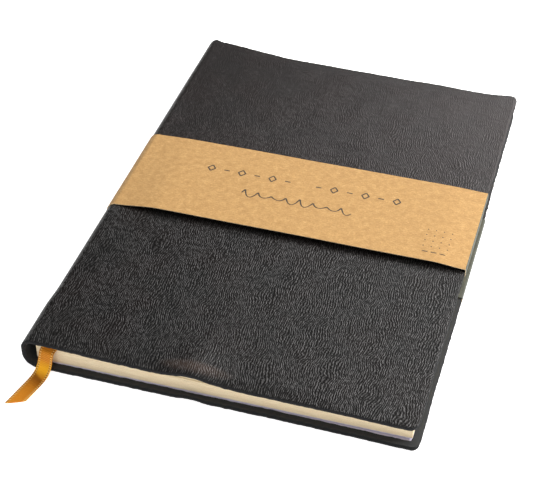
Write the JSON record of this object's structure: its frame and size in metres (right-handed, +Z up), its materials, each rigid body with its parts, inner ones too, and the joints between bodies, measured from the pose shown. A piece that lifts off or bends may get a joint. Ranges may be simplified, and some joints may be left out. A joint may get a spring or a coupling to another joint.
{
  "type": "leather journal",
  "caption": "Soft black leather journal with sewn cream pages, a marker ribbon and a kraft paper wrap band; the cover and first leaves turn and the band slides off.",
  "frame": {"origin": "under the middle of the closed journal, on the surface it lies on", "axes": "+X from the spine to the fore edge, +Y from the tail to the head, +Z up through the closed journal"},
  "size_m": [0.1528, 0.2392, 0.0141],
  "materials": {
    "leather": "fine pebble grain, semi-matt",
    "lining": "smooth black bonded leather",
    "board": "grey flexible card",
    "endpaper": "lavender grey, uncoated",
    "pages": "cream, uncoated",
    "gauze": "open cotton gauze with glue",
    "tape": "cotton tape",
    "thread": "waxed linen thread",
    "kraft": "natural kraft, uncoated",
    "ribbon": "golden brown satin"
  },
  "bodies": {
    "book": {"spine_leather": "leather", "spine_card": "board", "spine_lining": "lining", "back_cover_leather": "leather", "back_cover_card": "board", "back_cover_lining": "lining", "rear_pastedown": "endpaper", "rear_flyleaf": "endpaper", "spine_mull": "gauze", "sewing_tapes": "tape", "sewing_stitches": "thread", "signature_01": "pages", "signature_02": "pages", "signature_03": "pages", "signature_04": "pages", "signature_05": "pages", "signature_06": "pages", "signature_07": "pages", "signature_08": "pages", "ribbon_inside": "ribbon", "ribbon_tail": "ribbon"},
    "front_cover": {"front_cover_leather": "leather", "front_cover_card": "board", "front_cover_lining": "lining", "front_pastedown": "endpaper"},
    "flyleaf": {"front_flyleaf": "endpaper"},
    "leaves_10": {"signature_10": "pages"},
    "leaves_09": {"signature_09": "pages"},
    "band": {"band_spine": "kraft", "band_back": "kraft"},
    "band_flap": {"band_front": "kraft"}
  },
  "joints": [
    {"name": "cover_open", "type": "hinge", "parent": "book", "child": "front_cover", "pos_m": [-0.0725, 0, 0.0142], "axis": [0, -1, 0], "range_deg": [0, 180]},
    {"name": "flyleaf_turn", "type": "hinge", "parent": "book", "child": "flyleaf", "pos_m": [-0.0725, 0, 0.0142], "axis": [0, -1, 0], "range_deg": [0, 180]},
    {"name": "signature_10_turn", "type": "hinge", "parent": "book", "child": "leaves_10", "pos_m": [-0.0725, 0, 0.0142], "axis": [0, -1, 0], "range_deg": [0, 180]},
    {"name": "signature_09_turn", "type": "hinge", "parent": "book", "child": "leaves_09", "pos_m": [-0.0725, 0, 0.0142], "axis": [0, -1, 0], "range_deg": [0, 180]},
    {"name": "band_slide", "type": "slide", "parent": "book", "child": "band", "axis": [0, 1, 0], "range_m": [-0.05, 0.14]},
    {"name": "band_open", "type": "hinge", "parent": "band", "child": "band_flap", "pos_m": [-0.0725, 0, 0.0142], "axis": [0, -1, 0], "range_deg": [0, 180]}
  ],
  "couplings": [
    {"joint": "flyleaf_turn", "follows": "cover_open", "ratio": 0.995},
    {"joint": "signature_10_turn", "follows": "cover_open", "ratio": 0.985},
    {"joint": "signature_09_turn", "follows": "cover_open", "ratio": 0.975},
    {"joint": "band_open", "follows": "cover_open", "ratio": 1}
  ]
}
